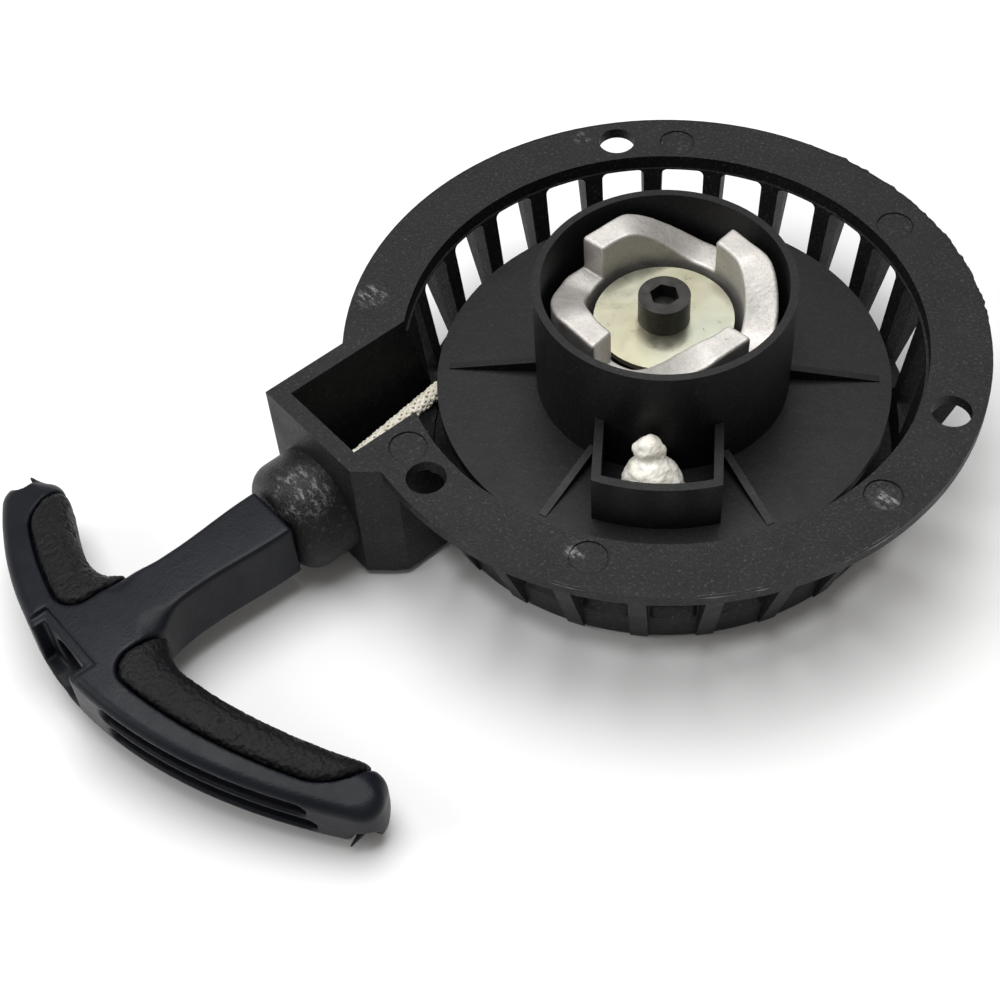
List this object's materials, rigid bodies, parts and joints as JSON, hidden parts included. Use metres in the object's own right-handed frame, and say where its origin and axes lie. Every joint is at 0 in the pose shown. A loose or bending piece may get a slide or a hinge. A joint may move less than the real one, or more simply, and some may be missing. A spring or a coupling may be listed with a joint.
{
  "type": "recoil starter",
  "caption": "Pull-rope recoil starter: a sprung rope reel with a toothed metal drive ring in a slotted round housing, pulled by a T-handle on a cord",
  "frame": {"origin": "on the reel axis, at the centre of the bolt circle, in the flange face that bolts to the engine", "axes": "+Z along the reel axis towards the engine; the rope leaves along -X; +Y completes the frame"},
  "size_m": [0.1897, 0.1322, 0.0469],
  "materials": {
    "housing_nylon": "black glass-filled nylon, fine grain, scuffed on the edges",
    "reel_nylon": "smooth black nylon",
    "handle_plastic": "satin black moulded plastic",
    "pad_rubber": "black grained soft grip",
    "cast_ring": "raw die-cast metal, warm grey",
    "zinc_washer": "yellow-zinc plated steel",
    "black_oxide": "black oxide steel",
    "insert_brass": "turned brass",
    "spring_steel": "blue-grey spring steel",
    "guide_steel": "pressed bright steel",
    "rope_nylon": "braided off-white nylon"
  },
  "bodies": {
    "housing_body": {"housing": "housing_nylon", "post_insert": "insert_brass", "retaining_washer": "zinc_washer", "centre_screw": "black_oxide", "rope_guide": "guide_steel", "recoil_spring": "spring_steel"},
    "reel_body": {"rope_reel": "reel_nylon", "drive_ring": "cast_ring", "rope_wound": "rope_nylon", "reel_knot": "rope_nylon"},
    "rope_body": {"rope_run": "rope_nylon"},
    "handle_body": {"handle": "handle_plastic", "grip_pad_far": "pad_rubber", "grip_pad_near": "pad_rubber", "knot_washer": "zinc_washer", "handle_knot": "rope_nylon"}
  },
  "joints": [
    {"name": "handle_pull", "type": "slide", "parent": "housing_body", "child": "rope_body", "axis": [-1, 0, 0], "range_m": [0, 0.7], "stiffness_N_per_m": 12, "springref_m": -0.35, "deforming": ["rope_run"]},
    {"name": "handle_twist", "type": "hinge", "parent": "rope_body", "child": "handle_body", "pos_m": [-0.077, 0.0265, -0.0193], "axis": [-1, 0, 0], "range_deg": [-90, 90]},
    {"name": "reel_spin", "type": "hinge", "parent": "housing_body", "child": "reel_body", "pos_m": [0, 0, 0], "axis": [0, 0, 1], "range_deg": [0, 1240]}
  ],
  "couplings": [
    {"joint": "reel_spin", "follows": "handle_pull", "rad_per_m": 30.03}
  ]
}
